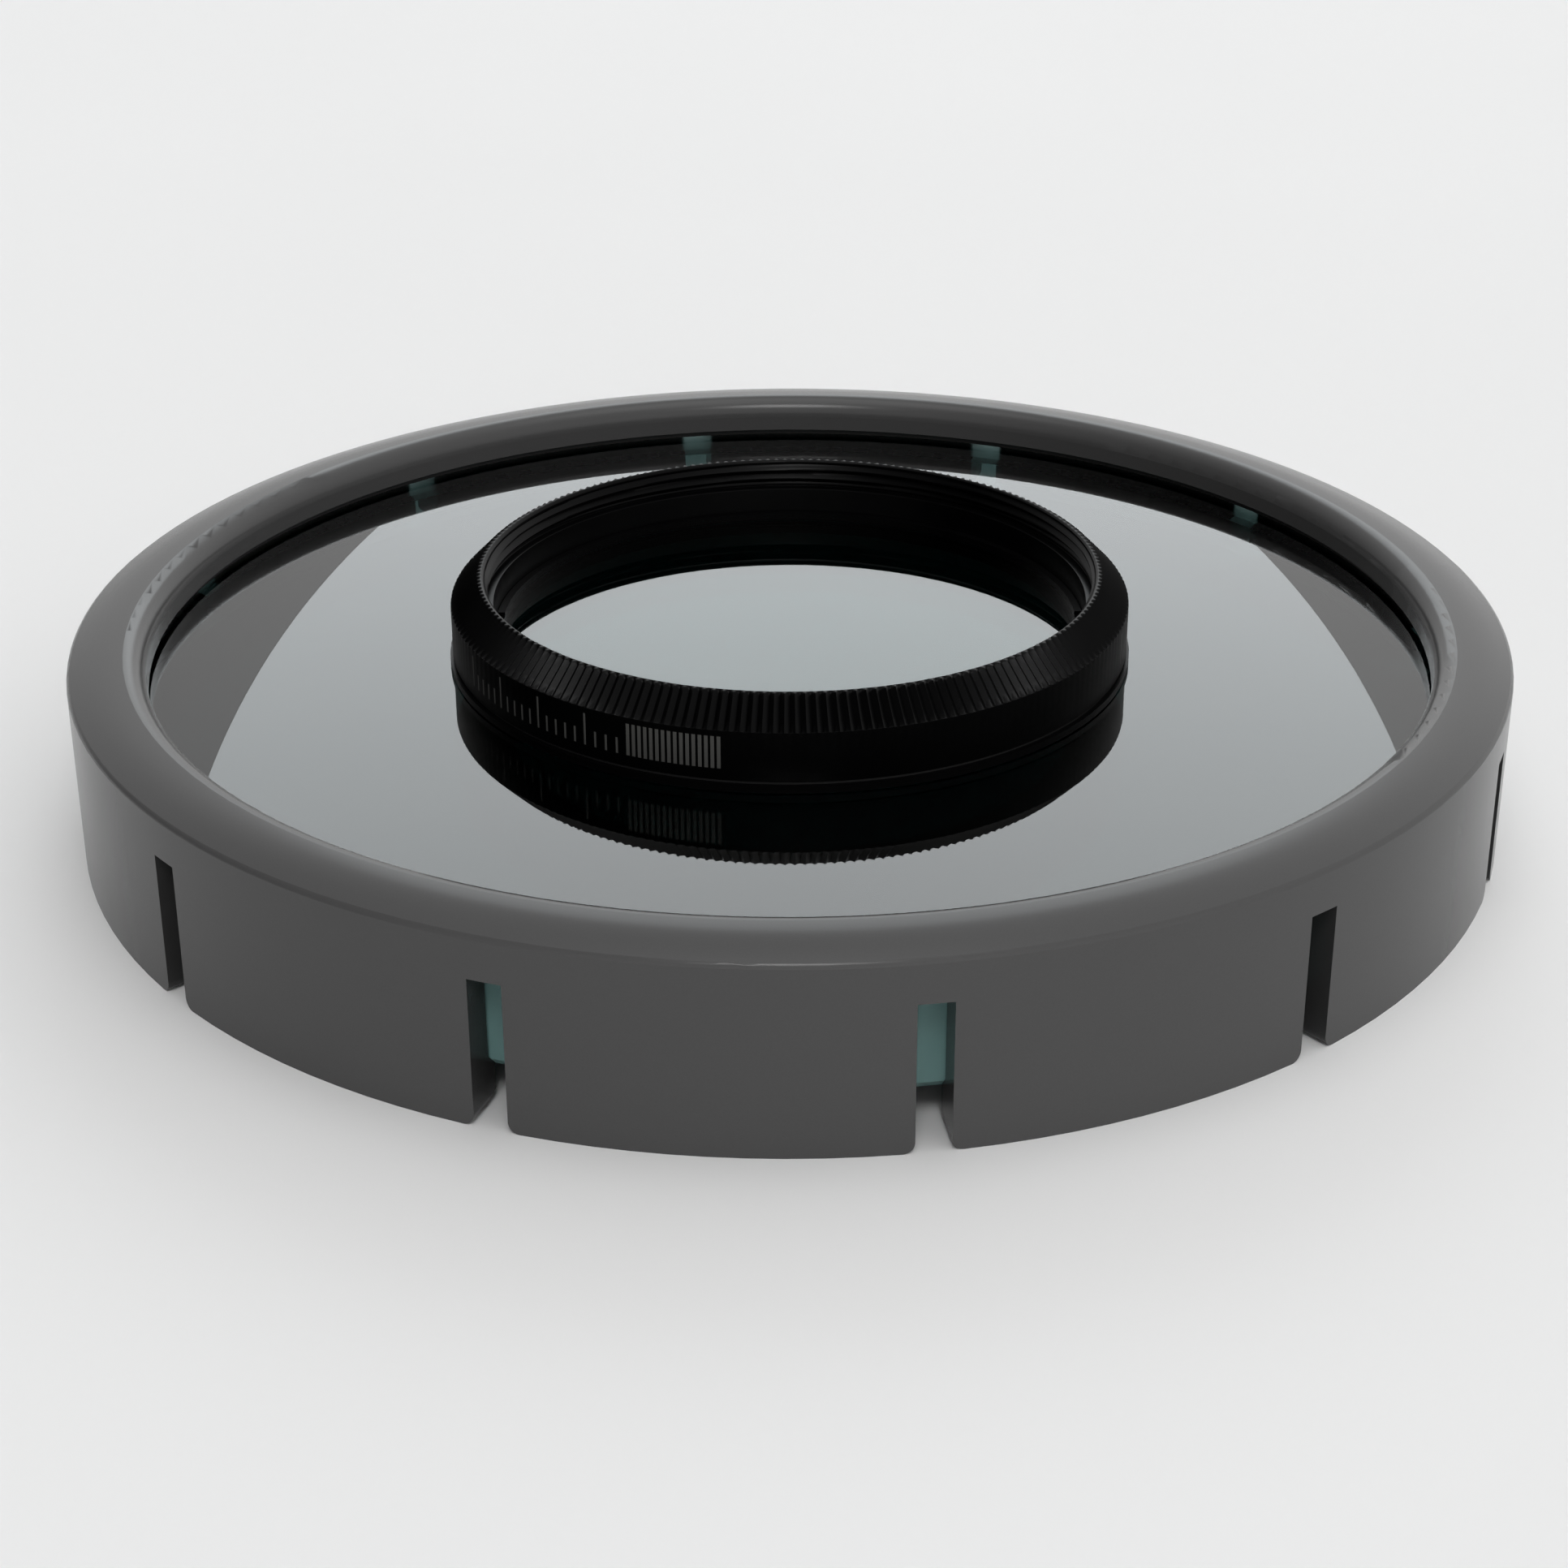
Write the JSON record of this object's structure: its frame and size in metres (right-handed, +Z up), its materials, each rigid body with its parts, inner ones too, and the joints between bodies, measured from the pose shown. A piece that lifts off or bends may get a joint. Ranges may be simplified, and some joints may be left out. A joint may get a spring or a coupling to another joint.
{
  "type": "windowed filter cell",
  "caption": "Round glass window in a slotted push-fit retaining ring, with a knurled threaded filter cell standing on its centre.",
  "frame": {"origin": "centre of the snap ring on the plane of its feet", "axes": "+Z up along the ring's and the filter cell's common axis; -Y is the front"},
  "size_m": [0.107, 0.107, 0.0178],
  "materials": {
    "ring_grey": "satin moulded dark grey",
    "gasket_dark": "matt",
    "window_glass": "polished, faint blue-green body tint",
    "adhesive": "cured black film",
    "cell_black": "black anodised, satin",
    "washer_black": "matt",
    "filter_glass": "polished, coated"
  },
  "bodies": {
    "window": {"snap_ring": "ring_grey", "glass_disc": "window_glass", "lip_gasket": "gasket_dark", "base_bond": "adhesive", "base_ring": "cell_black"},
    "washer": {"cell_washer": "washer_black"},
    "cell": {"cell_body": "cell_black", "seat_gasket": "gasket_dark", "filter_glass": "filter_glass", "filter_retaining_ring": "cell_black"}
  },
  "joints": [
    {"name": "cell_rise", "type": "slide", "parent": "window", "child": "washer", "axis": [0, 0, 1], "range_m": [0, 0.00135]},
    {"name": "cell_turn", "type": "hinge", "parent": "washer", "child": "cell", "pos_m": [0, 0, 0.012], "axis": [0, 0, 1], "range_deg": [0, 648]}
  ],
  "couplings": [
    {"joint": "cell_rise", "follows": "cell_turn", "m_per_rad": 0.00011937}
  ]
}
